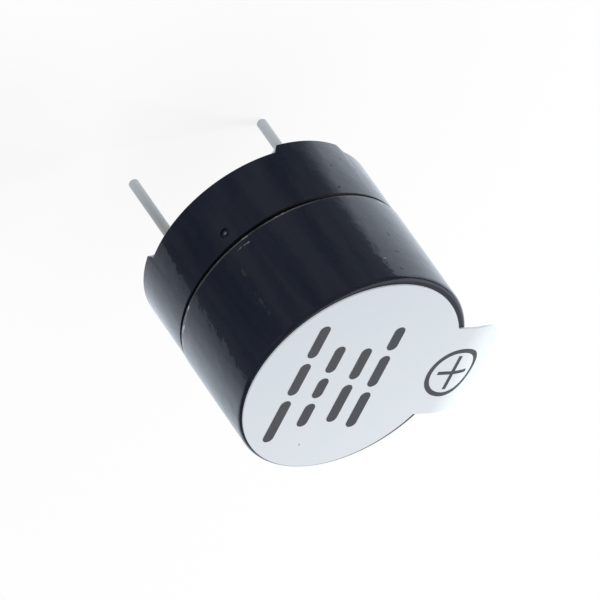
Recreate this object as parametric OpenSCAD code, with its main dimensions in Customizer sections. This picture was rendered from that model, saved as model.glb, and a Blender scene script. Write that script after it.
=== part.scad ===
// Active buzzer: a sealed magnetic sounder with its own driver, for through-hole boards.
// Millimetres. The board it is soldered to is the plane z = 0, the sound port faces +Z,
// and the two pins lie on the X axis with the positive one at +X.

/* [Case] */
// Diameter of the case
case_d = 12; // [11.8:0.1:12.4]
// Height of the case's top above the board
case_top_z = 9.7; // [9.4:0.1:10.4]
// Thickness of the case's side wall
case_wall = 0.6; // [0.5:0.05:0.65]
// Thickness of the case's top wall
roof_t = 1; // [0.8:0.1:1.2]
// Radius of the rounded top edge
edge_r = 0.3; // [0.2:0.05:0.4]
// Diameter of the sound port in the top wall
port_d = 2.2; // [1.6:0.1:3]

/* [Base] */
// Height of the seam between case and base above the board
seam_z = 3.8; // [3.5:0.1:4.2]
// Width of the bevel on each side of the seam
seam_bevel = 0.12; // [0.05:0.01:0.2]
// How far the base's side stands in from the case's side
base_inset = 0.05; // [0:0.01:0.1]
// Thickness of the base's side wall
base_wall = 0.6; // [0.55:0.05:0.75]
// Thickness of the floor between the magnet system and the driver board
floor_t = 0.6; // [0.5:0.05:0.8]
// Thickness of the collar around the magnet system
collar_w = 0.76; // [0.7:0.02:0.9]
// Thickness of the lip that centres the diaphragm
lip_t = 0.25; // [0.2:0.05:0.3]
// Height of the lip above the diaphragm's ledge
lip_h = 0.2; // [0.15:0.05:0.3]

/* [Feet] */
// Number of feet under the rim
foot_count = 3; // [2:1:4]
// Height of the feet
foot_h = 0.4; // [0.3:0.05:0.6]
// Length of a foot where it stands on the board
foot_l = 3.6; // [3:0.1:4.2]
// How far each end of a foot slopes out to the rim
foot_slope = 0.25; // [0.1:0.05:0.4]
// Direction of the first foot from the positive pin, in degrees
foot_angle = 70; // [60:1:80]

/* [Moulding mark] */
// Diameter of the round gate recess on the base's side
gate_d = 0.5; // [0.4:0.05:0.7]
// Depth of the gate recess
gate_depth = 0.12; // [0.08:0.01:0.16]
// Diameter of the gate's stub inside the recess
stub_d = 0.2; // [0.15:0.05:0.25]
// Distance of the gate recess below the seam
gate_drop = 0.8; // [0.6:0.1:1.2]
// Direction of the gate recess from the positive pin, in degrees
gate_angle = 131; // [120:1:140]

/* [Magnet system] */
// Thickness of the yoke plate
yoke_t = 0.8; // [0.7:0.05:0.9]
// Thickness of the ring magnet from its hole to its side
magnet_w = 0.9; // [0.8:0.05:1.2]
// Height of the ring magnet
magnet_h = 1.9; // [1.7:0.1:2.1]
// Diameter of the iron pole core
core_d = 2; // [1.8:0.1:2.2]
// How far the pole core stands above the ring magnet
core_rise = 0.2; // [0.1:0.05:0.3]
// Thickness of the drive winding around the core
drive_w = 1; // [0.8:0.05:1.2]
// Thickness of the feedback winding around the drive winding
feedback_w = 0.6; // [0.5:0.05:0.7]
// Height of both windings
coil_h = 1.8; // [1.6:0.1:1.9]
// Diameter of the winding's enamelled wire ends
wire_d = 0.12; // [0.08:0.02:0.16]
// Width of the slots that the wire ends pass through
slot_w = 0.5; // [0.4:0.05:0.6]
// Angle between the two slots, in degrees
slot_angle = 60; // [50:1:80]

/* [Diaphragm] */
// Air gap between the pole core and the diaphragm
air_gap = 0.3; // [0.2:0.05:0.4]
// Thickness of the steel diaphragm
diaphragm_t = 0.06; // [0.05:0.01:0.1]
// Diameter of the armature disc on the diaphragm
armature_d = 3.2; // [2.8:0.1:3.6]
// Thickness of the armature disc
armature_t = 0.3; // [0.2:0.05:0.4]

/* [Driver board] */
// Thickness of the driver board
board_t = 0.6; // [0.5:0.1:0.8]
// Gap between the board's edge and the base's wall
board_gap = 0.1; // [0.05:0.05:0.2]
// Length of the transistor's body
transistor_l = 2.9; // [2.8:0.05:3]
// Width of the transistor's body
transistor_w = 1.3; // [1.2:0.05:1.4]
// Height of the transistor off the board
transistor_h = 1; // [0.9:0.05:1.1]
// Gap between the transistor's body and the board
transistor_standoff = 0.05; // [0.02:0.01:0.1]
// Width of the transistor over its legs
transistor_span = 2.4; // [2.2:0.05:2.5]
// Distance between the two legs on one side of the transistor
leg_pitch = 1.9; // [1.8:0.05:2]
// Width of a transistor leg
leg_w = 0.4; // [0.3:0.05:0.5]
// Thickness of a transistor leg
leg_t = 0.12; // [0.1:0.01:0.15]
// Length of the bias resistor over its end caps
resistor_l = 1.6; // [1.5:0.05:1.7]
// Width of the bias resistor
resistor_w = 0.8; // [0.7:0.05:0.9]
// Height of the bias resistor
resistor_h = 0.45; // [0.4:0.05:0.5]
// Length of each end cap of the resistor
cap_l = 0.3; // [0.2:0.05:0.4]
// Diameter of a solder dot over a wire end
dot_d = 0.7; // [0.6:0.05:0.75]
// Height of a solder dot
dot_h = 0.25; // [0.2:0.05:0.3]
// Gap between the resistor and the transistor's legs
piece_gap = 0.8; // [0.6:0.05:1]

/* [Pins] */
// Distance between the two pins
pin_pitch = 7.6; // [7.4:0.1:7.8]
// Diameter of a pin's tinned free end
pin_d = 0.5; // [0.4:0.05:0.6]
// Thickness of the tin that the free end is dipped in
tin_t = 0.02; // [0.01:0.005:0.03]
// Gap between the tin and the potting's face
tin_gap = 0.1; // [0.05:0.05:0.2]
// Length of the positive pin below the board plane
positive_l = 6.5; // [5:0.1:8]
// Length of the negative pin below the board plane
negative_l = 5.2; // [4:0.1:7]
// Bevel on the cut end of a pin
tip_bevel = 0.1; // [0.05:0.01:0.15]
// Diameter of the solder joint around a pin
joint_d = 1; // [0.9:0.05:1.2]
// Height of the solder joint around a pin
joint_h = 0.5; // [0.4:0.05:0.7]

/* [Potting] */
// How far the potting's face lies above the rim of the base
potting_recess = 0.3; // [0.2:0.05:0.4]
// Thickness of potting below the tallest piece on the board
potting_cover = 0.3; // [0.2:0.05:0.4]

/* [Label] */
// How far the label's edge stands in from the case's side
label_margin = 0.3; // [0.3:0.05:0.5]
// Thickness of the label
label_t = 0.1; // [0.08:0.01:0.15]
// How far the label is stuck off centre, away from its tab
label_shift = 0.2; // [0:0.05:0.25]
// Direction of the pull tab from the positive pin, in degrees
tab_angle = -18; // [-25:1:0]
// Width of the pull tab
tab_w = 5.4; // [4.8:0.1:6]
// How far the tab's end stands out past the case's side
tab_overhang = 2.2; // [1.6:0.1:2.8]
// Radius of the tab's two corners
tab_corner_r = 1.9; // [1.2:0.1:2.2]
// Radius at which the tab bends down over the case's edge
tab_bend_r = 3.6; // [3:0.1:5]
// Slope of the tab's end, in degrees
tab_slope = 23; // [15:1:28]

/* [Fits] */
// Clearance between a piece and the seat that it slips into
fit_gap = 0.02; // [0.01:0.01:0.03]

/* [Hidden] */
$fn = 96;
// Overshoot of a cut past the face that it opens
cut = 0.2;

// Radii, from the case inwards
case_r = case_d / 2;
bore_r = case_r - case_wall;
base_r = case_r - base_inset;
collar_r = bore_r - fit_gap;
ledge_r = collar_r - lip_t;
diaphragm_r = ledge_r - fit_gap;
seat_r = collar_r - collar_w;
magnet_r = seat_r - fit_gap;
well_r = base_r - base_wall;
board_r = well_r - board_gap;
core_r = core_d / 2;
drive_in_r = core_r + fit_gap;
drive_r = drive_in_r + drive_w;
feedback_in_r = drive_r + fit_gap;
feedback_r = feedback_in_r + feedback_w;
pin_r = pin_d / 2;
wire_pin_r = pin_r - tin_t;
pin_hole_r = wire_pin_r + fit_gap;
joint_r = joint_d / 2;
dot_r = dot_d / 2;
wire_r = wire_d / 2;

// Heights above the board, from the feet upwards
potting_z = foot_h + potting_recess;
tin_z = potting_z - tin_gap;
board_z = potting_z + potting_cover + transistor_h;
floor_z = board_z + board_t;
yoke_z = floor_z + floor_t;
magnet_z = yoke_z + yoke_t;
core_z = magnet_z + magnet_h + core_rise;
ledge_z = core_z + air_gap;
armature_z = ledge_z + diaphragm_t;
roof_z = case_top_z - roof_t;

// Wire ends leave each winding at the middle of its section, on the +Y side of the core
drive_wire_r = (drive_in_r + drive_r) / 2;
feedback_wire_r = (feedback_in_r + feedback_r) / 2;
slot_angles = [90 - slot_angle / 2, 90 + slot_angle / 2];
wire_spots = [for (a = slot_angles) for (r = [drive_wire_r, feedback_wire_r]) r * [cos(a), sin(a)]];
wire_hole_r = 2 * wire_r;

// The resistor lies in the middle of the board, and the transistor on its -Y side
pin_x = pin_pitch / 2;
transistor_y = -(resistor_w / 2 + piece_gap + transistor_span / 2);
leg_z = board_z - transistor_h / 2;

// The label is as wide as its margins leave it, and its tab bends where the case's flat top ends
label_r = case_r - label_margin;
tab_reach = case_r + tab_overhang;
bend_s = case_r - edge_r;

module tube(r_out, r_in, h) {
    difference() {
        cylinder(r = r_out, h = h);
        translate([0, 0, -cut]) cylinder(r = r_in, h = h + 2 * cut);
    }
}

module block(size) {
    translate([-size[0] / 2, -size[1] / 2, 0]) cube(size);
}

module at_pins() {
    for (x = [-pin_x, pin_x]) translate([x, 0, 0]) children();
}

// Radial slots for the wire ends, with round ends
module wire_slots(h) {
    for (a = slot_angles) rotate([0, 0, a]) {
        translate([drive_wire_r, -slot_w / 2, 0]) cube([feedback_wire_r - drive_wire_r, slot_w, h]);
        for (r = [drive_wire_r, feedback_wire_r]) translate([r, 0, 0]) cylinder(d = slot_w, h = h);
    }
}

// Half section of the case: a cup with a rounded top edge and a bevel at the seam
module case_section() {
    difference() {
        union() {
            translate([0, seam_z]) square([case_r, case_top_z - edge_r - seam_z]);
            translate([0, seam_z]) square([case_r - edge_r, case_top_z - seam_z]);
            translate([case_r - edge_r, case_top_z - edge_r]) circle(r = edge_r);
        }
        translate([0, seam_z - cut]) square([bore_r, roof_z - seam_z + cut]);
        square([port_d / 2, case_top_z + cut]);
        polygon([[case_r - seam_bevel, seam_z], [case_r + cut, seam_z + seam_bevel + cut],
                 [case_r + cut, seam_z - cut], [case_r - seam_bevel, seam_z - cut]]);
    }
}

module case() {
    color([0.12, 0.13, 0.16]) rotate_extrude() case_section();
}

// Half section of the base: a well for the board below, a seat for the magnet system above,
// and a collar that the case slips over, with the diaphragm's ledge on its end
module base_section() {
    polygon([[0, floor_z], [well_r, floor_z], [well_r, 0], [base_r, 0],
             [base_r, seam_z - seam_bevel], [base_r - seam_bevel, seam_z], [collar_r, seam_z],
             [collar_r, ledge_z + lip_h], [ledge_r, ledge_z + lip_h], [ledge_r, ledge_z],
             [seat_r, ledge_z], [seat_r, yoke_z], [0, yoke_z]]);
}

// What is cut from the rim between the feet: the ends of each foot slope out to the rim
module between_feet() {
    half = foot_l / 2;
    difference() {
        translate([0, 0, -cut]) cylinder(r = case_r, h = foot_h + cut);
        for (i = [0 : foot_count - 1]) rotate([90, 0, 90 + foot_angle + i * 360 / foot_count]) {
            linear_extrude(height = case_r + cut) {
                polygon([[-half, -2 * cut], [half, -2 * cut], [half, 0],
                         [half + foot_slope, foot_h], [half + foot_slope, foot_h + cut],
                         [-half - foot_slope, foot_h + cut], [-half - foot_slope, foot_h], [-half, 0]]);
            }
        }
    }
}

module gate_recess() {
    rotate([0, 0, gate_angle]) translate([base_r - gate_depth, 0, seam_z - gate_drop]) rotate([0, 90, 0]) {
        tube(gate_d / 2, stub_d / 2, gate_depth + cut);
        translate([0, 0, gate_depth / 2]) cylinder(d = stub_d + fit_gap, h = gate_depth / 2 + cut);
    }
}

module base() {
    color([0.11, 0.12, 0.15]) difference() {
        rotate_extrude() base_section();
        between_feet();
        translate([0, 0, floor_z - cut]) wire_slots(floor_t + 2 * cut);
        gate_recess();
    }
}

// Outline of the label seen from above: a disc and a pull tab with round corners
module label_outline() {
    corner_s = tab_reach - tab_corner_r;
    corner_w = tab_w / 2 - tab_corner_r;
    translate([-label_shift, 0]) circle(r = label_r);
    translate([0, -tab_w / 2]) square([corner_s, tab_w]);
    translate([0, -corner_w]) square([tab_reach, 2 * corner_w]);
    for (side = [-1, 1]) translate([corner_s, side * corner_w]) circle(r = tab_corner_r);
}

// The sheet that the label is cut from: flat on the case, then bent down, then straight
module label_sheet() {
    sheet_w = 2 * label_r + cut;
    translate([-case_r, -sheet_w / 2, case_top_z]) cube([case_r + bend_s, sheet_w, label_t]);
    translate([bend_s, 0, case_top_z - tab_bend_r]) rotate([90, 0, 0]) {
        translate([0, 0, -sheet_w / 2]) rotate([0, 0, 90 - tab_slope]) rotate_extrude(angle = tab_slope) {
            translate([tab_bend_r, 0]) square([label_t, sheet_w]);
        }
        rotate([0, 0, -tab_slope]) translate([0, tab_bend_r, -sheet_w / 2]) {
            cube([tab_reach, label_t, sheet_w]);
        }
    }
}

module seal_label() {
    color([0.87, 0.89, 0.92]) rotate([0, 0, tab_angle]) intersection() {
        label_sheet();
        linear_extrude(height = case_top_z + 2 * label_t) label_outline();
    }
}

module diaphragm() {
    color([0.72, 0.72, 0.7]) translate([0, 0, ledge_z]) cylinder(r = diaphragm_r, h = diaphragm_t);
}

module armature_disc() {
    color([0.6, 0.6, 0.6]) translate([0, 0, armature_z]) cylinder(d = armature_d, h = armature_t);
}

module ring_magnet() {
    color([0.25, 0.24, 0.23]) translate([0, 0, magnet_z]) tube(magnet_r, magnet_r - magnet_w, magnet_h);
}

module pole_core() {
    color([0.62, 0.62, 0.64]) translate([0, 0, yoke_z]) cylinder(r = core_r, h = core_z - yoke_z);
}

module yoke_plate() {
    color([0.66, 0.66, 0.66]) translate([0, 0, yoke_z]) difference() {
        tube(magnet_r, core_r + fit_gap, yoke_t);
        translate([0, 0, -cut]) wire_slots(yoke_t + 2 * cut);
    }
}

module drive_coil() {
    color([0.72, 0.36, 0.16]) translate([0, 0, magnet_z]) tube(drive_r, drive_in_r, coil_h);
}

module feedback_coil() {
    color([0.62, 0.25, 0.14]) translate([0, 0, magnet_z]) tube(feedback_r, feedback_in_r, coil_h);
}

module coil_leads() {
    color([0.72, 0.36, 0.16]) for (spot = wire_spots) {
        translate([spot[0], spot[1], board_z]) cylinder(r = wire_r, h = magnet_z - board_z);
    }
}

module driver_board() {
    color([0.2, 0.42, 0.25]) translate([0, 0, board_z]) difference() {
        cylinder(r = board_r, h = board_t);
        at_pins() translate([0, 0, -cut]) cylinder(r = pin_hole_r, h = board_t + 2 * cut);
        for (spot = wire_spots) {
            translate([spot[0], spot[1], -cut]) cylinder(r = wire_hole_r, h = board_t + 2 * cut);
        }
    }
}

// A cap of a ball that is dot_d across where it wets the board and dot_h deep
module solder_dot() {
    ball_r = (dot_r * dot_r + dot_h * dot_h) / (2 * dot_h);
    intersection() {
        translate([0, 0, ball_r - dot_h]) sphere(r = ball_r);
        translate([0, 0, -dot_h - cut]) cylinder(r = dot_r + cut, h = dot_h + cut);
    }
}

module lead_solder() {
    color([0.75, 0.75, 0.76]) for (spot = wire_spots) translate([spot[0], spot[1], board_z]) solder_dot();
}

module transistor() {
    color([0.09, 0.09, 0.1]) translate([0, transistor_y, board_z - transistor_h]) {
        block([transistor_l, transistor_w, transistor_h - transistor_standoff]);
    }
}

// A bent leg, from the +Y side of the transistor's body to its foot on the board
module leg() {
    start_y = transistor_w / 2;
    bend_y = (start_y + transistor_span / 2 - leg_t) / 2;
    translate([-leg_w / 2, 0, 0]) rotate([90, 0, 90]) linear_extrude(height = leg_w) {
        translate([start_y, leg_z]) square([bend_y + leg_t - start_y, leg_t]);
        translate([bend_y, leg_z]) square([leg_t, board_z - leg_z]);
        translate([bend_y, board_z - leg_t]) square([transistor_span / 2 - bend_y, leg_t]);
    }
}

module transistor_legs() {
    color([0.75, 0.75, 0.76]) translate([0, transistor_y, 0]) {
        leg();
        for (x = [-leg_pitch / 2, leg_pitch / 2]) translate([x, 0, 0]) mirror([0, 1, 0]) leg();
    }
}

module bias_resistor() {
    color([0.1, 0.1, 0.11]) translate([0, 0, board_z - resistor_h]) {
        block([resistor_l - 2 * cap_l, resistor_w, resistor_h]);
    }
}

module resistor_caps() {
    cap_x = (resistor_l - cap_l) / 2;
    color([0.75, 0.75, 0.76]) for (x = [-cap_x, cap_x]) {
        translate([x, 0, board_z - resistor_h]) block([cap_l, resistor_w, resistor_h]);
    }
}

// A cone of solder around a pin, wide where it wets the board
module joint(gap) {
    neck_r = pin_r + tip_bevel;
    translate([0, 0, board_z - joint_h]) cylinder(r1 = neck_r + gap, r2 = joint_r + gap, h = joint_h);
}

module pin_solder() {
    color([0.75, 0.75, 0.76]) at_pins() difference() {
        joint(0);
        translate([0, 0, board_z - joint_h - cut]) cylinder(r = pin_hole_r, h = joint_h + 2 * cut);
    }
}

// A straight wire pin from the driver board's upper face down: bare inside the potting, and
// tinned below it to the bevelled end
module pin(length) {
    color([0.7, 0.71, 0.73]) {
        translate([0, 0, tip_bevel - length]) cylinder(r = pin_r, h = length - tip_bevel + tin_z);
        translate([0, 0, -length]) cylinder(r1 = pin_r - tip_bevel, r2 = pin_r, h = tip_bevel);
        cylinder(r = wire_pin_r, h = floor_z);
    }
}

module positive_pin() {
    translate([pin_x, 0, 0]) pin(positive_l);
}

module negative_pin() {
    translate([-pin_x, 0, 0]) pin(negative_l);
}

// Cast resin below the board, around everything that hangs from it
module potting() {
    depth = board_z - potting_z;
    color([0.14, 0.14, 0.15]) difference() {
        translate([0, 0, potting_z]) cylinder(r = well_r - fit_gap, h = depth);
        at_pins() {
            translate([0, 0, potting_z - cut]) cylinder(r = pin_hole_r, h = depth + 2 * cut);
            joint(fit_gap);
        }
        for (spot = wire_spots) {
            translate([spot[0], spot[1], board_z - dot_h - fit_gap]) {
                cylinder(r = dot_r + fit_gap, h = dot_h + cut);
            }
        }
        translate([0, transistor_y, board_z - transistor_h - fit_gap]) {
            block([transistor_l + 2 * fit_gap, transistor_span + 2 * fit_gap, transistor_h + cut]);
        }
        translate([0, 0, board_z - resistor_h - fit_gap]) {
            block([resistor_l + 2 * fit_gap, resistor_w + 2 * fit_gap, resistor_h + cut]);
        }
    }
}

case();
base();
seal_label();
diaphragm();
armature_disc();
ring_magnet();
pole_core();
yoke_plate();
drive_coil();
feedback_coil();
coil_leads();
driver_board();
lead_solder();
transistor();
transistor_legs();
bias_resistor();
resistor_caps();
pin_solder();
positive_pin();
negative_pin();
potting();
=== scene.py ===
import math

import bmesh
import bpy
from mathutils import Matrix, Vector


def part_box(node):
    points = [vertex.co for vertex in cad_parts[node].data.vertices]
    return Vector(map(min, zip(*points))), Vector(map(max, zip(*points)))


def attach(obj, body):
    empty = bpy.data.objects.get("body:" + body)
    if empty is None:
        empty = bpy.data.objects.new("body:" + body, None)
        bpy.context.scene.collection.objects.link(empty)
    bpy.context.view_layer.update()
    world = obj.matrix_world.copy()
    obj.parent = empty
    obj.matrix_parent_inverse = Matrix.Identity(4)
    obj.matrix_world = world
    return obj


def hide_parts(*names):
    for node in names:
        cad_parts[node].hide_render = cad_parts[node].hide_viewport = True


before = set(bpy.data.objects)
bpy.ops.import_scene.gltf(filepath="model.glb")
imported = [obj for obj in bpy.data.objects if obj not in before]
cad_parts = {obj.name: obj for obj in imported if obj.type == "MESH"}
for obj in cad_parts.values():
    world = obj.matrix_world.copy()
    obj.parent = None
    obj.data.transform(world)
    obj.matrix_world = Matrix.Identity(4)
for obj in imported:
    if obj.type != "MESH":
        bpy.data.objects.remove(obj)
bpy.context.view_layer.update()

# Base: the lower half of the shell, injection moulded in glossy black plastic. Its well holds the driver
# board, its seat the magnet system, and its collar is glued into the case. It stands on three feet.
MM = 0.001
FIT = 0.02 * MM
FILLET_STEPS = 8
SHARP_EDGE = math.radians(32)


def softened(section):
    """The corners of a half section (r, z, fillet radius) with each fillet turned into an arc."""
    points = []
    for i, (r, z, fillet) in enumerate(section):
        corner = Vector((r, z))
        if not fillet:
            points.append(corner)
            continue
        before = (Vector(section[i - 1][:2]) - corner).normalized()
        after = (Vector(section[(i + 1) % len(section)][:2]) - corner).normalized()
        half = before.angle(after) / 2
        centre = corner + (before + after).normalized() * fillet / math.sin(half)
        start = corner + before * fillet / math.tan(half) - centre
        end = corner + after * fillet / math.tan(half) - centre
        for k in range(FILLET_STEPS + 1):
            step = start.normalized().slerp(end.normalized(), k / FILLET_STEPS)
            points.append(centre + step * fillet)
    return points


def shaded(mesh):
    """Smooth, but for the sharp edges."""
    mesh.shade_smooth()
    mesh.set_sharp_from_angle(angle=SHARP_EDGE)


def mesh_piece(name, bm):
    """A new object at the origin with this mesh, its faces turned outward."""
    bmesh.ops.recalc_face_normals(bm, faces=bm.faces)
    mesh = bpy.data.meshes.new(name)
    bm.to_mesh(mesh)
    bm.free()
    shaded(mesh)
    obj = bpy.data.objects.new(name, mesh)
    bpy.context.scene.collection.objects.link(obj)
    return obj


def turned(name, section, angles, height=None):
    """A half section turned about Z: closed by poles where it starts and ends on the axis, else a ring."""
    bm = bmesh.new()
    rings = []
    for r, z in softened(section):
        stops = [0.0] if r == 0 else angles
        rings.append([
            bm.verts.new((r * math.cos(a), r * math.sin(a), height(r, z, a) if height else z))
            for a in stops
        ])
    pairs = list(zip(rings, rings[1:]))
    if len(rings[0]) > 1:
        pairs.append((rings[-1], rings[0]))
    for one, two in pairs:
        for j in range(len(angles)):
            k = (j + 1) % len(angles)
            corners = [one[j % len(one)], one[k % len(one)], two[k % len(two)], two[j % len(two)]]
            bm.faces.new(list(dict.fromkeys(corners)))
    return mesh_piece(name, bm)


def even_angles(count):
    """So many directions round a full turn."""
    return [2 * math.pi * k / count for k in range(count)]


def baked(obj):
    """Turns the evaluated object into its plain mesh and drops its modifiers."""
    graph = bpy.context.evaluated_depsgraph_get()
    mesh = bpy.data.meshes.new_from_object(obj.evaluated_get(graph), depsgraph=graph)
    obj.modifiers.clear()
    obj.data = mesh
    shaded(mesh)


def cut_away(obj, cutter):
    """Cuts a form out of a piece and drops the form."""
    tool = obj.modifiers.new("cut", "BOOLEAN")
    tool.operation = "DIFFERENCE"
    tool.solver = "EXACT"
    tool.object = cutter
    baked(obj)
    bpy.data.objects.remove(cutter)


def plug(tree, value, socket):
    """Links an output to a socket, or sets the socket to a plain value."""
    if isinstance(value, bpy.types.NodeSocket):
        tree.links.new(value, socket)
    else:
        socket.default_value = value


def add_node(tree, kind, inputs=None, **settings):
    """A new node with its settings, and with values or outputs at its named or numbered inputs."""
    node = tree.nodes.new(kind)
    for setting, value in settings.items():
        setattr(node, setting, value)
    for socket, value in (inputs or {}).items():
        plug(tree, value, node.inputs[socket])
    return node


def node_math(tree, operation, *values):
    """The output of a new math node; each value is a number or an output."""
    node = add_node(tree, "ShaderNodeMath", dict(enumerate(values)), operation=operation)
    return node.outputs["Value"]


def vector_math(tree, operation, *values):
    """The output of a new vector math node: a number for a product or a distance, else a vector."""
    node = add_node(tree, "ShaderNodeVectorMath", dict(enumerate(values)), operation=operation)
    return node.outputs["Value" if operation in ("DOT_PRODUCT", "DISTANCE") else "Vector"]


def ramp(tree, value, start, end, least=0.0, most=1.0):
    """The least below start and the most above end, or the other way round where start is the larger."""
    return add_node(tree, "ShaderNodeMapRange", {
        "Value": value, "From Min": start, "From Max": end, "To Min": least, "To Max": most,
    }).outputs["Result"]


def colour_mix(tree, share, under, over):
    """One colour laid over another; a colour mix keeps its colours at these numbered sockets."""
    return add_node(tree, "ShaderNodeMix", {0: share, 6: under, 7: over}, data_type="RGBA").outputs[2]


def surface(name, colour, rough, metallic=0.0, grain=4000, stretch=(1, 1, 1), tint=0.08, spread=0.04,
            bump=0.1, depth=0.002):
    """A material whose colour, roughness and relief vary with noise in the piece's own coordinates.
    The grain is in cells to the metre, and the depth in mm."""
    material = bpy.data.materials.new(name)
    material.use_nodes = True
    tree = material.node_tree
    place = add_node(tree, "ShaderNodeTexCoord").outputs["Object"]
    at = add_node(tree, "ShaderNodeMapping", {"Vector": place, "Scale": stretch}).outputs["Vector"]
    broader, smooth_at, rough_at = 8, 0.3, 0.7
    fine, broad = (
        add_node(tree, "ShaderNodeTexNoise", {"Vector": at, "Scale": scale, "Detail": detail},
                 name=title).outputs["Fac"]
        for title, scale, detail in (("fine", grain, 4), ("broad", grain / broader, 3))
    )
    dark, light = ([min(1, c * level) for c in colour] + [1] for level in (1 - tint, 1 + tint))
    gloss = ramp(tree, broad, smooth_at, rough_at, max(0.0, rough - spread), rough + spread)
    relief = add_node(tree, "ShaderNodeBump", {"Height": fine, "Strength": bump, "Distance": depth * MM})
    for socket, value in (
        ("Base Color", colour_mix(tree, broad, dark, light)),
        ("Metallic", metallic),
        ("Roughness", gloss),
        ("Normal", relief.outputs["Normal"]),
    ):
        plug(tree, value, tree.nodes["Principled BSDF"].inputs[socket])
    return material


def placed(obj, material, slot, *nodes):
    """The finished piece: its material, the body it rides on and what it stands for; the slot is not used.
    """
    obj.data.materials.clear()
    obj.data.materials.append(material)
    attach(obj, "root")
    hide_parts(*nodes)


case_low, case_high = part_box("case")
case_r, case_top, seam_z = -case_low.x, case_high.z, case_low.z
case_wall = 0.6 * MM
bore_r = case_r - case_wall
base_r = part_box("base")[1].x
collar_r = bore_r - FIT
collar_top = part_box("base")[1].z
ledge_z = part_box("diaphragm")[0].z
ledge_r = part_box("diaphragm")[1].x + FIT
seat_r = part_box("ring_magnet")[1].x + FIT
well_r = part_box("potting")[1].x + FIT
floor_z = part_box("driver_board")[1].z
yoke_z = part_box("yoke_plate")[0].z
seam_bevel, seam_lip, seam_fillet = 0.12 * MM, 0.02 * MM, 0.05 * MM
collar_fillet, rim_fillet, well_fillet = 0.03 * MM, 0.06 * MM, 0.04 * MM
foot_h, foot_half, foot_slope = 0.4 * MM, 1.8 * MM, 0.25 * MM
foot_turns = [math.radians(degrees) for degrees in (70, 190, 310)]
base_steps = 240


def rim_height(r, z, a):
    """The rim's lower edge follows the feet, whose ends slope up to it."""
    if z > foot_h:
        return z
    across = min(abs(r * math.sin(a - turn)) for turn in foot_turns if math.cos(a - turn) > 0)
    return z + foot_h * min(1, max(0, (across - foot_half) / foot_slope))


foot_ends = [math.asin(half / r) for half in (foot_half, foot_half + foot_slope) for r in (well_r, base_r)]
foot_marks = [turn + side * end for turn in foot_turns for end in foot_ends for side in (-1, 1)]
base_angles = sorted(even_angles(base_steps) + [a % (2 * math.pi) for a in foot_marks])
base = turned("base_shell", [
    (0, yoke_z, 0), (seat_r, yoke_z, 0), (seat_r, ledge_z, 0), (ledge_r, ledge_z, 0),
    (ledge_r, collar_top, 0), (collar_r, collar_top, collar_fillet), (collar_r, seam_z, 0),
    (base_r - seam_bevel, seam_z, seam_lip), (base_r, seam_z - seam_bevel, seam_fillet),
    (base_r, 0, rim_fillet), (well_r, 0, well_fillet), (well_r, floor_z, 0), (0, floor_z, 0),
], base_angles, rim_height)

# The gate's recess on the side, with the stub of its sprue in the middle
gate_degrees, gate_z = 131, seam_z - 0.8 * MM
gate_depth, gate_r, gate_bevel, gate_out = 0.12 * MM, 0.25 * MM, 0.04 * MM, 0.3 * MM
stub_h, stub_r = 0.06 * MM, 0.1 * MM
bevel_h = gate_depth - gate_bevel / 2
gate_steps = 48
gate = turned("gate", [
    (0, stub_h, 0), (stub_r, stub_h, 0), (stub_r, 0, 0), (gate_r, 0, 0), (gate_r, bevel_h, 0),
    (gate_r + gate_bevel, bevel_h + gate_bevel, 0), (gate_r + gate_bevel, gate_out, 0), (0, gate_out, 0),
], even_angles(gate_steps))
gate.data.transform(
    Matrix.Rotation(math.radians(gate_degrees), 4, "Z")
    @ Matrix.Translation((base_r - gate_depth, 0, gate_z))
    @ Matrix.Rotation(math.radians(90), 4, "Y")
)
cut_away(base, gate)

# The slots in the floor that the wire ends pass through
slot_half, slot_in, slot_out, slot_past = 0.25 * MM, 1.52 * MM, 2.34 * MM, 0.2 * MM
slot_degrees = (60, 120)
end_steps = 16
end_turns = [math.pi * (k / end_steps - 0.5) for k in range(end_steps + 1)]
slot_outline = [(slot_out + slot_half * math.cos(a), slot_half * math.sin(a)) for a in end_turns]
slot_outline += [(slot_in - slot_half * math.cos(a), -slot_half * math.sin(a)) for a in end_turns]
slots = bmesh.new()
for degrees in slot_degrees:
    turn = Matrix.Rotation(math.radians(degrees), 3, "Z")
    low = [slots.verts.new(turn @ Vector((x, y, floor_z - slot_past))) for x, y in slot_outline]
    high = [slots.verts.new(v.co + Vector((0, 0, yoke_z - floor_z + 2 * slot_past))) for v in low]
    slots.faces.new(low)
    slots.faces.new(high)
    for k in range(len(low)):
        slots.faces.new((low[k - 1], low[k], high[k], high[k - 1]))
cut_away(base, mesh_piece("slots", slots))


def own_place(tree):
    """The place on the piece, in its own coordinates."""
    return tree.nodes["Texture Coordinate"].outputs["Object"]


def own_height(tree):
    """The height on the piece."""
    return add_node(tree, "ShaderNodeSeparateXYZ", {"Vector": own_place(tree)}).outputs["Z"]


def off_height(tree, z):
    """How far the height lies from a level, above or below it."""
    return node_math(tree, "ABSOLUTE", node_math(tree, "SUBTRACT", own_height(tree), z))


def tinted(tree, mask, colour):
    """Lays a colour over the material's own where the mask is 1."""
    socket = tree.nodes["Principled BSDF"].inputs["Base Color"]
    plug(tree, colour_mix(tree, mask, socket.links[0].from_socket, (*colour, 1)), socket)


def dulled(tree, mask):
    """Takes the smooth skin off where the mask is 1."""
    socket = tree.nodes["Principled BSDF"].inputs["Coat Weight"]
    left = node_math(tree, "SUBTRACT", 1.0, mask)
    plug(tree, node_math(tree, "MULTIPLY", socket.links[0].from_socket, left), socket)


def spot(tree, centre, radius):
    """1 inside a small round spot at a point."""
    return ramp(tree, vector_math(tree, "DISTANCE", own_place(tree), centre), radius, radius / 2)


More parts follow.
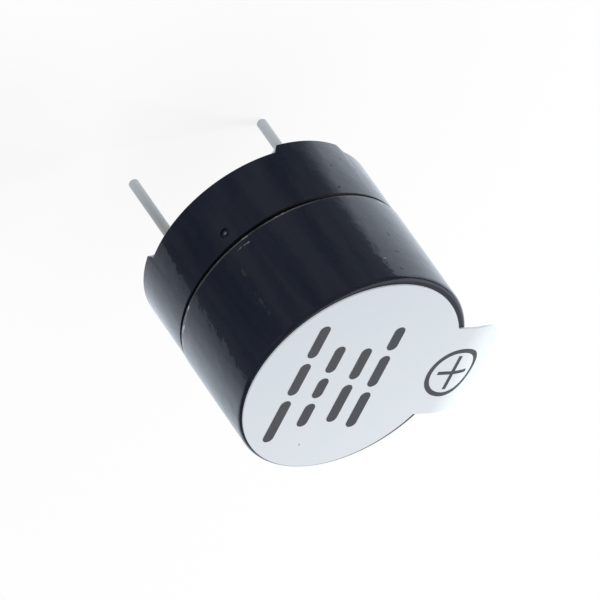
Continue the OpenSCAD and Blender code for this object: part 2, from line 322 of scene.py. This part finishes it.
def on_wall(r, degrees, z):
    """A point on a round wall, at a direction and a height."""
    return Vector((r * math.cos(math.radians(degrees)), r * math.sin(math.radians(degrees)), z))


def moulded_gloss(name):
    """Black plastic from a polished mould: a smooth, slightly wavy skin over a hazier body.
    The seam is dull and darkened by painted shade, and the flat top has no skin."""
    material = surface(name, (0.011, 0.0148, 0.0285), 0.3, grain=2400, spread=0.08, bump=0.05, depth=0.0008)
    tree = material.node_tree
    dull_shade_in, dull_shade_out = 0.09 * MM, 0.12 * MM
    skin_none, skin_full = case_top - 0.01 * MM, case_top - 0.06 * MM
    wave_grain, wave_depth = 1300, 0.03 * MM
    off_seam = off_height(tree, seam_z)
    below_top = ramp(tree, own_height(tree), skin_none, skin_full)
    skin_weight = node_math(tree, "MULTIPLY", ramp(tree, off_seam, dull_shade_in, dull_shade_out), below_top)
    waves = add_node(tree, "ShaderNodeTexNoise", {
        "Vector": own_place(tree), "Scale": wave_grain, "Detail": 2,
    })
    wavy = add_node(tree, "ShaderNodeBump", {
        "Height": waves.outputs["Fac"], "Strength": 1.0, "Distance": wave_depth,
    })
    for socket, value in (
        ("Specular IOR Level", 0.25),
        ("Coat Roughness", 0.05),
        ("Coat Weight", skin_weight),
        ("Coat Normal", wavy.outputs["Normal"]),
    ):
        plug(tree, value, tree.nodes["Principled BSDF"].inputs[socket])
    # Painted shade along the seam: its colour is darkened where the two halves meet
    tinted(tree, ramp(tree, off_seam, dull_shade_out, dull_shade_in), (0.0025, 0.003, 0.0042))
    return material


base_plastic = moulded_gloss("base_plastic_gloss")
base_tree = base_plastic.node_tree
stub_tip = on_wall(base_r - gate_depth / 2, gate_degrees, gate_z)
tinted(base_tree, spot(base_tree, stub_tip, stub_r), (0.12, 0.125, 0.14))
# Small pits in the wall: direction in degrees, height and radius in mm
for degrees, pit_z, pit_r in ((71.6, 3.27, 0.1), (51.1, 1.73, 0.08), (67.2, 1.77, 0.08), (58, 1.2, 0.07)):
    dulled(base_tree, spot(base_tree, on_wall(base_r, degrees, pit_z * MM), pit_r * MM))
placed(base, base_plastic, "base_plastic", "base")

# Yoke plate and pole core: punched and turned from soft iron, nickel plated. The core is riveted into the
# plate, and the plate drops into the base's seat.


def dress(node, material):
    """Gives a CAD node that is shown as it is its finish."""
    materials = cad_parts[node].data.materials
    materials.clear()
    materials.append(material)


plated_iron = surface("plated_iron", (0.48, 0.47, 0.44), 0.3, 1.0, grain=3000, stretch=(1, 1, 6),
                      spread=0.08)
dress("yoke_plate", plated_iron)
dress("pole_core", plated_iron)

# Windings: the drive winding on the pole core and the feedback winding over it, enamelled copper wire that
# is wound turn beside turn. The outer layer shows as turns, over a sleeve that stands for the layers below.
copper = surface("enamelled_copper", (0.52, 0.2, 0.07), 0.28, 0.9, grain=5000, tint=0.15)
wire_r, wire_sides, turn_steps, sleeve_steps = 0.06 * MM, 8, 48, 96


def node_group(name, inputs):
    """A Geometry Nodes tree that gives geometry, and the identifiers of its named inputs."""
    tree = bpy.data.node_groups.new(name, "GeometryNodeTree")
    sockets = {}
    for title, kind in inputs.items():
        socket = tree.interface.new_socket(title, in_out="INPUT", socket_type="NodeSocket" + kind)
        sockets[title] = socket.identifier
    tree.interface.new_socket("Geometry", in_out="OUTPUT", socket_type="NodeSocketGeometry")
    return tree, sockets


turns_tree, turns_sockets = node_group("winding_turns", {
    "Geometry": "Geometry", "Radius": "Float", "Height": "Float", "Turns": "Float", "Wire Radius": "Float",
    "Start Height": "Float", "Material": "Material",
})
given = add_node(turns_tree, "NodeGroupInput").outputs
spiral = add_node(turns_tree, "GeometryNodeCurveSpiral", {
    "Resolution": turn_steps, "Rotations": given["Turns"], "Start Radius": given["Radius"],
    "End Radius": given["Radius"], "Height": given["Height"],
})
wire = add_node(turns_tree, "GeometryNodeCurvePrimitiveCircle", {
    "Resolution": wire_sides, "Radius": given["Wire Radius"],
})
thread = add_node(turns_tree, "GeometryNodeCurveToMesh", {
    "Curve": spiral.outputs["Curve"], "Profile Curve": wire.outputs["Curve"], "Fill Caps": True,
})
rise = add_node(turns_tree, "ShaderNodeCombineXYZ", {"Z": given["Start Height"]})
lift = add_node(turns_tree, "GeometryNodeTransform", {
    "Geometry": thread.outputs["Mesh"], "Translation": rise.outputs["Vector"],
})
both = add_node(turns_tree, "GeometryNodeJoinGeometry")
for geometry in (given["Geometry"], lift.outputs["Geometry"]):
    turns_tree.links.new(geometry, both.inputs["Geometry"])
real = add_node(turns_tree, "GeometryNodeRealizeInstances", {"Geometry": both.outputs["Geometry"]})
paint = add_node(turns_tree, "GeometryNodeSetMaterial", {
    "Geometry": real.outputs["Geometry"], "Material": given["Material"],
})
add_node(turns_tree, "NodeGroupOutput", {"Geometry": paint.outputs["Geometry"]})

for name, node, inner_r in (("drive_winding", "drive_coil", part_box("pole_core")[1].x + FIT),
                            ("feedback_winding", "feedback_coil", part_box("drive_coil")[1].x + FIT)):
    low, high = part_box(node)
    sleeve_r = high.x - wire_r
    climb = high.z - low.z - 2 * wire_r
    winding = turned(name, [
        (inner_r, low.z, 0), (sleeve_r, low.z, 0), (sleeve_r, high.z, 0), (inner_r, high.z, 0),
    ], even_angles(sleeve_steps))
    turns = winding.modifiers.new("turns", "NODES")
    turns.node_group = turns_tree
    for title, value in (("Radius", sleeve_r), ("Height", climb), ("Turns", climb / (2 * wire_r)),
                         ("Wire Radius", wire_r), ("Start Height", low.z + wire_r), ("Material", copper)):
        turns[turns_sockets[title]] = value
    baked(winding)
    placed(winding, copper, "copper_wire", node)

# Wire ends: the four ends of the windings, the same enamelled copper wire, led straight down through the
# slots in the base's floor and soldered to the driver board.
dress("coil_leads", copper)

# Ring magnet: bonded ferrite pressed into a ring, matt and slightly grainy. It sits on the yoke plate round
# the windings, and its pull holds the diaphragm down.
dress("ring_magnet", surface("pressed_ferrite", (0.05, 0.047, 0.044), 0.7, grain=6000, tint=0.2, bump=0.4,
                             depth=0.006))

# Driver board and its parts: a glass fibre disc with green mask, a moulded transistor and a chip resistor,
# all reflow soldered to its lower face. The solder is bright and the moulded bodies are matt.
dress("driver_board", surface("board_mask", (0.03, 0.145, 0.05), 0.4, grain=7000, tint=0.12, bump=0.2,
                              depth=0.003))
solder = surface("bright_solder", (0.6, 0.6, 0.61), 0.22, 1.0, grain=3500, spread=0.08, bump=0.3,
                 depth=0.006)
for node in ("lead_solder", "pin_solder", "resistor_caps"):
    dress(node, solder)
moulded = surface("moulded_body", (0.012, 0.012, 0.013), 0.6, grain=9000, tint=0.2, bump=0.4, depth=0.004)
for node in ("transistor", "bias_resistor"):
    dress(node, moulded)
dress("transistor_legs", surface("tinned_wire", (0.62, 0.635, 0.63), 0.42, 0.8, grain=5000,
                                 stretch=(1, 1, 0.12), tint=0.12, spread=0.08, bump=0.25, depth=0.004))

# Pins: straight copper wire, soldered into the driver board, cut off with a bevel and dipped in tin below
# the resin, so that they are a little thicker there. The positive one is longer.
dull_tin = surface("dull_tin", (0.65, 0.665, 0.66), 0.5, 0.55, grain=5000, stretch=(1, 1, 0.12), tint=0.12,
                   spread=0.08, bump=0.25, depth=0.004)
pin_bevel, tip_fillet, bevel_fillet, tin_fillet = 0.1 * MM, 0.02 * MM, 0.05 * MM, 0.015 * MM
tin_t, tin_gap = 0.02 * MM, 0.1 * MM
tin_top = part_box("potting")[0].z - tin_gap
pin_steps = 64
for name, node in (("pin_positive", "positive_pin"), ("pin_negative", "negative_pin")):
    low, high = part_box(node)
    pin_r = (high.x - low.x) / 2
    bare_r = pin_r - tin_t
    pin = turned(name, [
        (0, low.z, 0), (pin_r - pin_bevel, low.z, tip_fillet), (pin_r, low.z + pin_bevel, bevel_fillet),
        (pin_r, tin_top, tin_fillet), (bare_r, tin_top, 0), (bare_r, high.z, 0), (0, high.z, 0),
    ], even_angles(pin_steps))
    pin.data.transform(Matrix.Translation(((low.x + high.x) / 2, 0, 0)))
    placed(pin, dull_tin, "tinned_wire", node)

# Potting: black resin poured into the well over the board, with a smooth face where it set. It closes the
# underside and holds the board and the pins.
dress("potting", surface("cast_resin", (0.011, 0.011, 0.012), 0.2, grain=900, tint=0.15, spread=0.08,
                         bump=0.3, depth=0.01))

# Diaphragm and armature disc: thin rolled spring steel with a small iron disc welded to its middle. It
# rests on the base's ledge and is held down by the magnet alone.
dress("diaphragm", surface("rolled_steel", (0.5, 0.5, 0.48), 0.28, 1.0, grain=2500, stretch=(1, 10, 1)))
dress("armature_disc", plated_iron)

# Case: the upper half of the shell, injection moulded in the same glossy black plastic, a cup with a
# rounded edge and a sound port in its top. It slips over the base's collar and is glued there.
port_r, port_fillet = 1.1 * MM, 0.05 * MM
edge_r, bore_fillet = 0.3 * MM, 0.03 * MM
roof_z = case_top - 1 * MM
case_steps = 288
case = turned("case_shell", [
    (bore_r, seam_z, bore_fillet), (case_r - seam_bevel, seam_z, seam_lip),
    (case_r, seam_z + seam_bevel, seam_fillet), (case_r, case_top, edge_r), (port_r, case_top, port_fillet),
    (port_r, roof_z, 0), (bore_r, roof_z, 0),
], even_angles(case_steps))
case_plastic = moulded_gloss("case_plastic_gloss")
case_tree = case_plastic.node_tree


def scratch(tree, start, end, width):
    """1 along a scratch between two places on the wall, each a direction in degrees and a height in mm."""
    first, last = (on_wall(case_r, degrees, z * MM) for degrees, z in (start, end))
    run = last - first
    offset = vector_math(tree, "SUBTRACT", own_place(tree), first)
    part_way = vector_math(tree, "DOT_PRODUCT", offset, run / run.length_squared)
    part_way = node_math(tree, "MINIMUM", node_math(tree, "MAXIMUM", part_way, 0.0), 1.0)
    nearest = add_node(tree, "ShaderNodeVectorMath", {0: run, "Scale": part_way}, operation="SCALE")
    off_line = vector_math(tree, "DISTANCE", offset, nearest.outputs["Vector"])
    return ramp(tree, off_line, width * MM, width * MM / 3)


# A painted highlight lies along the lower edge, broken up in places
edge_highlight_z, edge_highlight_out, edge_highlight_in = seam_z + 0.17 * MM, 0.04 * MM, 0.01 * MM
fine, broad = (case_tree.nodes[title].outputs["Fac"] for title in ("fine", "broad"))
at_edge = ramp(case_tree, off_height(case_tree, edge_highlight_z), edge_highlight_out, edge_highlight_in)
in_places = ramp(case_tree, broad, 0.47, 0.62)
tinted(case_tree, node_math(case_tree, "MULTIPLY", at_edge, in_places), (0.1, 0.105, 0.12))

# Scratches, scuffs and painted highlights on stretches of the edge, each with its two ends and its width in
# mm, and nicks
broken_up = ramp(case_tree, fine, 0.42, 0.55)
scratches = [((130.4, 4.26), (124.3, 4.3), 0.05), ((126.1, 3.95), (123.5, 3.98), 0.05),
             ((108.3, 3.93), (104.3, 3.94), 0.05), ((75.0, 8.2), (74.4, 8.22), 0.06)]
scuffs = [((134.2, 5.3), (134.4, 5.6), 0.1), ((135.0, 6.77), (135.4, 8.12), 0.1)]
edge_highlights = [((168, 3.98), (181, 4.08), 0.05), ((180, 4.02), (192, 4.08), 0.06),
              ((56, 4.02), (49, 4.12), 0.05)]
nick_width = 0.05
nicks = [((65.9, 7.74), (63.9, 7.76)), ((62.7, 6.67), (62.8, 6.45)), ((70, 8.9), (69, 9.0))]
for marks, colour in ((scratches, (0.2, 0.21, 0.23)), (scuffs, (0.03, 0.034, 0.043)),
                      (edge_highlights, (0.5, 0.52, 0.55))):
    mask = 0.0
    for start, end, width in marks:
        mask = node_math(case_tree, "MAXIMUM", mask, scratch(case_tree, start, end, width))
    tinted(case_tree, node_math(case_tree, "MULTIPLY", mask, broken_up), colour)
for start, end in nicks:
    dulled(case_tree, scratch(case_tree, start, end, nick_width))
placed(case, case_plastic, "case_plastic", "case")

# Seal label: a die cut disc of coated white paper with a pull tab, stuck over the sound port and a little
# off centre. The tab runs past the case's edge and bends down.
tab_turn = Matrix.Rotation(math.radians(-18), 4, "Z")
label_r, label_shift, label_t = 5.7 * MM, 0.2 * MM, 0.1 * MM
tab_half, tab_end, tab_corner = 2.7 * MM, 8.195 * MM, 1.9 * MM
bend_start, bend_r, bend_angle = case_r - edge_r, 3.6 * MM, math.radians(23)
ink_t = 0.008 * MM


def sheet_z(s, above):
    """Height of the sheet at the distance s along the tab, seen from above: flat, bent, then straight."""
    r = bend_r + above
    run = s - bend_start
    if run <= 0:
        return case_top + above
    bent = r * math.sin(bend_angle)
    if run <= bent:
        return case_top - bend_r + math.sqrt(r * r - run * run)
    return case_top - bend_r + r * math.cos(bend_angle) - (run - bent) * math.tan(bend_angle)


def label_half(s):
    """Half the label's width at the distance s along the tab."""
    off = s + label_shift
    disc = math.sqrt(max(0, label_r ** 2 - off ** 2)) if abs(off) < label_r else 0
    if s < 0:
        return disc
    past = s - (tab_end - tab_corner)
    tab = tab_half
    if past > 0:
        tab += math.sqrt(max(0, tab_corner ** 2 - past ** 2)) - tab_corner
    return max(disc, tab)


disc_steps, notch_steps, bend_steps, corner_steps = 140, 6, 10, 48
notch_s = math.sqrt(label_r ** 2 - tab_half ** 2) - label_shift
notch_turn = math.acos(-(notch_s + label_shift) / label_r)
corner_s = tab_end - tab_corner
columns = [-label_shift - label_r * math.cos(notch_turn * k / disc_steps) for k in range(1, disc_steps)]
columns += [notch_s + (bend_start - notch_s) * k / notch_steps for k in range(notch_steps)]
columns += [bend_start + (corner_s - bend_start) * k / bend_steps for k in range(bend_steps)]
columns += [corner_s + tab_corner * math.sin(math.pi / 2 * k / corner_steps)
            for k in range(corner_steps + 1)]
sheet = bmesh.new()
loops = []
for s in columns:
    half = label_half(s)
    corners = [(-half, label_t - ink_t), (half, label_t - ink_t), (half, 0), (-half, 0)]
    loops.append([sheet.verts.new((s, w, sheet_z(s, above))) for w, above in corners])
for one, two in zip(loops, loops[1:]):
    for k in range(4):
        sheet.faces.new((one[k - 1], one[k], two[k], two[k - 1]))
sheet.faces.new(loops[0])
sheet.faces.new(loops[-1])
label = mesh_piece("label", sheet)
label.data.transform(tab_turn)
paper = surface("coated_paper", (0.665, 0.715, 0.77), 0.5, grain=5000, tint=0.012, spread=0.06, bump=0.12,
                depth=0.003)
paper_tree = paper.node_tree
# The paper has painted light, a shade lighter towards one side, and a speck of dust lies on it
painted_light_way, painted_light_from, painted_light_to = (0.31, -0.95, 0), -6 * MM, 10 * MM
across_paper = vector_math(paper_tree, "DOT_PRODUCT", own_place(paper_tree), painted_light_way)
tinted(paper_tree, ramp(paper_tree, across_paper, painted_light_from, painted_light_to), (0.78, 0.83, 0.87))
speck, speck_r = (-2.42 * MM, -3.72 * MM, case_top + label_t), 0.06 * MM
tinted(paper_tree, spot(paper_tree, speck, speck_r), (0.2, 0.21, 0.22))
placed(label, paper, "label_paper", "seal_label")

# Print on the label: a thin layer of dark grey ink, four rows of plain bars and a polarity mark of a plus
# sign in a ring on the tab. The rows run across the label.
ink = surface("print_ink", (0.034, 0.04, 0.05), 0.45, grain=6000, tint=0.25, spread=0.08, bump=0.2,
              depth=0.002)
# Each row has its place along the tab and the ends of its bars across it, in mm
rows = [
    (1.3, ((3.0, 1.55), (1.2, -0.75), (-1.1, -3.3))),
    (-0.05, ((1.75, -0.2), (-0.55, -2.9))),
    (-1.7, ((1.95, 0.3), (-0.05, -1.3), (-1.65, -3.1))),
    (-3.25, ((3.3, 1.3), (0.95, -1.05), (-1.4, -4.0))),
]
bar_r, bar_sides = 0.3 * MM, 24

# A bar is a disc at each of the given points, pulled apart at its middle by the point's reach
bars_tree, bars_sockets = node_group("print_bars", {
    "Geometry": "Geometry", "Bar Radius": "Float", "Material": "Material",
})
given = add_node(bars_tree, "NodeGroupInput").outputs
disc = add_node(bars_tree, "GeometryNodeMeshCircle", {
    "Vertices": bar_sides, "Radius": given["Bar Radius"],
}, fill_type="NGON")
swing = add_node(bars_tree, "GeometryNodeTransform", {
    "Geometry": disc.outputs["Mesh"], "Rotation": (0, 0, math.pi / bar_sides),
})
here = add_node(bars_tree, "GeometryNodeInputPosition").outputs["Position"]
split = add_node(bars_tree, "ShaderNodeSeparateXYZ", {"Vector": here})
keep = add_node(bars_tree, "GeometryNodeStoreNamedAttribute", {
    "Geometry": swing.outputs["Geometry"], "Name": "side",
    "Value": node_math(bars_tree, "SIGN", split.outputs["Y"]),
})
laid = add_node(bars_tree, "GeometryNodeInstanceOnPoints", {
    "Points": given["Geometry"], "Instance": keep.outputs["Geometry"],
})
real = add_node(bars_tree, "GeometryNodeRealizeInstances", {"Geometry": laid.outputs["Instances"]})
side, reach = (add_node(bars_tree, "GeometryNodeInputNamedAttribute", {"Name": title}).outputs["Attribute"]
               for title in ("side", "reach"))
pull = add_node(bars_tree, "ShaderNodeCombineXYZ", {"Y": node_math(bars_tree, "MULTIPLY", side, reach)})
pulled = add_node(bars_tree, "GeometryNodeSetPosition", {
    "Geometry": real.outputs["Geometry"], "Offset": pull.outputs["Vector"],
})
paint = add_node(bars_tree, "GeometryNodeSetMaterial", {
    "Geometry": pulled.outputs["Geometry"], "Material": given["Material"],
})
add_node(bars_tree, "NodeGroupOutput", {"Geometry": paint.outputs["Geometry"]})

bar_spots = [(s * MM, (a + b) / 2 * MM, abs(a - b) / 2 * MM - bar_r) for s, ends in rows for a, b in ends]
bar_mesh = bpy.data.meshes.new("label_bars")
bar_mesh.from_pydata([(s, w, 0) for s, w, _ in bar_spots], [], [])
reaches = bar_mesh.attributes.new("reach", "FLOAT", "POINT")
reaches.data.foreach_set("value", [half for _, _, half in bar_spots])
bars = bpy.data.objects.new("label_bars", bar_mesh)
bpy.context.scene.collection.objects.link(bars)
print_bars = bars.modifiers.new("bars", "NODES")
print_bars.node_group = bars_tree
print_bars[bars_sockets["Bar Radius"]] = bar_r
print_bars[bars_sockets["Material"]] = ink
baked(bars)

# The ring and the plus sign on the tab, flat first, cut across in fine steps and then laid on the bend
mark_s, mark_w = 5.86 * MM, -0.12 * MM
ring_out, ring_in, ring_steps = 1.5 * MM, 1.25 * MM, 96
arm_s, arm_w, arm_half = 0.87 * MM, 1.05 * MM, 0.1 * MM
cut_step, cuts = 0.05 * MM, 40
print_mesh = bmesh.new()
print_mesh.from_mesh(bars.data)
bpy.data.objects.remove(bars)
rounds = [[print_mesh.verts.new((mark_s + r * math.cos(a), mark_w + r * math.sin(a), 0))
           for a in even_angles(ring_steps)] for r in (ring_in, ring_out)]
for k in range(ring_steps):
    print_mesh.faces.new((rounds[0][k - 1], rounds[1][k - 1], rounds[1][k], rounds[0][k]))
plus_sign = [
    (arm_s, -arm_half), (arm_s, arm_half), (arm_half, arm_half), (arm_half, arm_w), (-arm_half, arm_w),
    (-arm_half, arm_half), (-arm_s, arm_half), (-arm_s, -arm_half), (-arm_half, -arm_half),
    (-arm_half, -arm_w), (arm_half, -arm_w), (arm_half, -arm_half),
]
print_mesh.faces.new([print_mesh.verts.new((mark_s + s, mark_w + w, 0)) for s, w in plus_sign])
for k in range(cuts):
    bmesh.ops.bisect_plane(
        print_mesh, geom=print_mesh.verts[:] + print_mesh.edges[:] + print_mesh.faces[:],
        plane_co=(bend_start + cut_step * k, 0, 0), plane_no=(1, 0, 0))
top_r = bend_r + label_t
for v in print_mesh.verts:
    run = v.co.x - bend_start
    if run > 0:
        bent = min(bend_angle, run / top_r)
        straight = max(0, run - top_r * bend_angle)
        v.co.x = bend_start + top_r * math.sin(bent) + straight * math.cos(bend_angle)
    v.co.z = sheet_z(v.co.x, label_t - ink_t)
skin = bmesh.ops.extrude_face_region(print_mesh, geom=print_mesh.faces[:], use_keep_orig=True)
for v in skin["geom"]:
    if isinstance(v, bmesh.types.BMVert):
        v.co.z = sheet_z(v.co.x, label_t)
label_print = mesh_piece("label_print", print_mesh)
label_print.data.transform(tab_turn)
label_print.data.materials.append(ink)
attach(label_print, "root")

# Stage: a pale floor at the tip of the longest pin, a white room and a soft light from the tab's side. The
# glossy walls mirror a dark card on the floor towards the camera and a surround, which nothing else shows.
toward = Vector((-0.503, 0.864, 0))
aside = Vector((0.864, 0.503, 0))
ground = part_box("positive_pin")[0].z


def staged(name, points, faces, material):
    """A thing of the stage, with no part in the object."""
    mesh = bpy.data.meshes.new(name)
    mesh.from_pydata(points, [], faces)
    mesh.materials.append(material)
    obj = bpy.data.objects.new(name, mesh)
    bpy.context.scene.collection.objects.link(obj)
    return obj


def floor_sheet(name, corners, gap, material):
    """A flat sheet on the floor."""
    return staged(name, [(p.x, p.y, ground + gap) for p in corners], [range(4)], material)


def stage_material(name):
    """A material with no nodes yet."""
    material = bpy.data.materials.new(name)
    material.use_nodes = True
    material.node_tree.nodes.clear()
    return material, material.node_tree


def shader_out(tree, shader):
    """Sends a shader to the material's output."""
    add_node(tree, "ShaderNodeOutputMaterial", {"Surface": shader})


def shader_mix(tree, share, under, over):
    """One shader laid over another."""
    return add_node(tree, "ShaderNodeMixShader", {0: share, 1: under, 2: over}).outputs["Shader"]


def matt(tree, colour):
    """A plain diffuse shader."""
    return add_node(tree, "ShaderNodeBsdfDiffuse", {"Color": colour}).outputs["BSDF"]


# The floor shows mostly its own white, cooler where it is mirrored, and its matt share takes the shadow
floor_white, floor_tree = stage_material("floor_white")
rays = add_node(floor_tree, "ShaderNodeLightPath").outputs
own_share = 0.8
seen = node_math(floor_tree, "MAXIMUM", rays["Is Camera Ray"], rays["Is Glossy Ray"])
own_light = node_math(floor_tree, "MULTIPLY", seen, own_share)
cooler = colour_mix(floor_tree, rays["Is Glossy Ray"], (1, 1, 1, 1), (0.8, 0.895, 1.02, 1))
bright = add_node(floor_tree, "ShaderNodeEmission", {"Color": cooler}).outputs["Emission"]
pale = matt(floor_tree, (0.95, 0.95, 0.95, 1))
shader_out(floor_tree, shader_mix(floor_tree, own_light, pale, bright))
wide = 2.0
floor_corners = [Vector(at) for at in ((-wide, -wide), (wide, -wide), (wide, wide), (-wide, wide))]
floor_sheet("floor", floor_corners, 0, floor_white)

card_dark, card_tree = stage_material("card_dark")
outward = vector_math(card_tree, "NORMALIZE", add_node(card_tree, "ShaderNodeTexCoord").outputs["Object"])
cloud = add_node(card_tree, "ShaderNodeTexNoise", {"Vector": outward, "Scale": 3.5}).outputs["Fac"]
cloudy = colour_mix(card_tree, ramp(card_tree, cloud, 0.38, 0.62), (0.02, 0.024, 0.035, 1),
                    (0.15, 0.165, 0.19, 1))
shader_out(card_tree, matt(card_tree, cloudy))
behind, near, far, card_gap = -8 * MM, 6 * MM, 300 * MM, 0.05 * MM
card = floor_sheet("card", [toward * near - aside * far, toward * near + aside * far,
                            toward * far + aside * far, toward * far - aside * far], card_gap, card_dark)
panels = 72
low_rise, front_rise, front_bow, left_rise = 18, 50, 0.7, 26
back_from, back_drop = 0.5, 0.75


def surround_top(a):
    """How high the surround reaches, as an angle: tall on the camera's side, low at the back."""
    front = max(0, math.cos(a))
    left = max(0, -math.sin(a)) * (1 - front)
    back = min(1, max(0, -math.cos(a) - back_from) / (1 - back_from))
    rise = low_rise + front_rise * front ** front_bow + left_rise * left
    return math.radians(rise * (1 - back_drop * back))


around = [(toward * math.cos(a) + aside * math.sin(a)) * far for a in even_angles(panels)]
tops = [far * math.tan(surround_top(a)) for a in even_angles(panels)]
surround = staged(
    "surround",
    [(p.x, p.y, ground) for p in around] + [(p.x, p.y, top) for p, top in zip(around, tops)],
    [(k, (k + 1) % panels, (k + 1) % panels + panels, k + panels) for k in range(panels)], card_dark)


def card_fade(name, side, along, clear_at, full_at, most):
    """A half clear sheet beside the part, from the card's edge to behind the part, to soften the edge."""
    material, tree = stage_material(name)
    place = add_node(tree, "ShaderNodeTexCoord").outputs["Object"]
    cover = ramp(tree, vector_math(tree, "DOT_PRODUCT", place, along), clear_at, full_at, most=most)
    clear = add_node(tree, "ShaderNodeBsdfTransparent").outputs["BSDF"]
    shader_out(tree, shader_mix(tree, cover, clear, matt(tree, (0.08, 0.09, 0.11, 1))))
    front, back = toward * near, toward * behind
    corners = [front + side * far, front + side * near, back + side * near, back + side * far]
    return floor_sheet(name, corners, card_gap, material)


card_left = card_fade("card_left", -aside, toward, behind, near, 0.68)
card_right = card_fade("card_right", aside, toward - aside * 0.25, -3 * MM, 1 * MM, 0.9)
for obj in (card, surround, card_left, card_right):
    obj.visible_camera = obj.visible_diffuse = obj.visible_shadow = obj.visible_transmission = False

world = bpy.data.worlds.new("white_room")
bpy.context.scene.world = world
world.use_nodes = True
room_tree = world.node_tree
lights_part = add_node(room_tree, "ShaderNodeLightPath").outputs["Is Diffuse Ray"]
seen_level, lit_level = 1.0, 0.72
room = room_tree.nodes["Background"].inputs
plug(room_tree, (1, 1, 1, 1), room["Color"])
plug(room_tree, ramp(room_tree, lights_part, 0, 1, seen_level, lit_level), room["Strength"])

lamp = bpy.data.lights.new("key", "AREA")
lamp.size = 0.12
lamp.energy = 1.0
key = bpy.data.objects.new("key", lamp)
bpy.context.scene.collection.objects.link(key)
key_turn, key_rise, key_far = math.radians(-18), math.radians(20), 0.35
aim = Vector((math.cos(key_turn) * math.cos(key_rise), math.sin(key_turn) * math.cos(key_rise),
              math.sin(key_rise)))
key.location = aim * key_far
key.rotation_mode = "QUATERNION"
key.rotation_quaternion = aim.to_track_quat("Z", "Y")
key.visible_glossy = False
key.visible_camera = False

# Camera: far off with a long lens, about 34 degrees above the label, rolled as in the photograph. Its eye
# lies to the right of, below and behind the part's origin, in mm.
right = Vector((0.8707, 0.1295, 0.4744))
down = Vector((-0.2645, -0.6900, 0.6738))
ahead = Vector((0.4145, -0.7122, -0.5665))
eye_right, eye_down, eye_back = 2.08, 3.09, 600
lens = bpy.data.cameras.new("camera")
lens.sensor_width = 36
lens.lens = 768
lens.clip_start, lens.clip_end = 0.05, 10
camera = bpy.data.objects.new("camera", lens)
bpy.context.scene.collection.objects.link(camera)
eye = (right * eye_right + down * eye_down - ahead * eye_back) * MM
camera_turn = Matrix((right, -down, -ahead)).transposed().to_4x4()
camera.matrix_world = Matrix.Translation(eye) @ camera_turn
bpy.context.scene.camera = camera
bpy.context.scene.view_settings.view_transform = "Standard"
